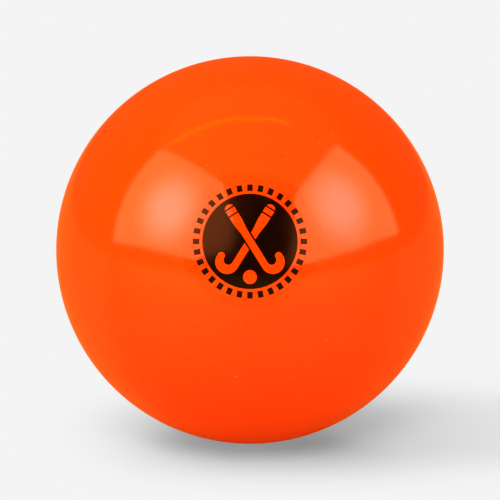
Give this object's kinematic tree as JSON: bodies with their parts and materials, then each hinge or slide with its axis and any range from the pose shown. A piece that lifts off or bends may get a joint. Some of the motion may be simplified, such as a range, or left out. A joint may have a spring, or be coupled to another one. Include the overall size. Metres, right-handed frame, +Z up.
{
  "type": "field hockey ball",
  "caption": "Smooth, glossy orange field hockey ball with a round black mark printed on a slightly flatter round seat.",
  "frame": {"origin": "centre of the ball", "axes": "+Z up as the ball lies, -Y towards the side that carries the printed mark, +X to the right as that side is looked at"},
  "size_m": [0.073, 0.073, 0.073],
  "materials": {
    "orange_pvc": "glossy moulded PVC, smooth, a little glossier inside the round seat",
    "black_ink": "printed ink with a satin gloss"
  },
  "bodies": {
    "root": {"ball": "orange_pvc", "printed_mark": "black_ink"}
  },
  "joints": []
}
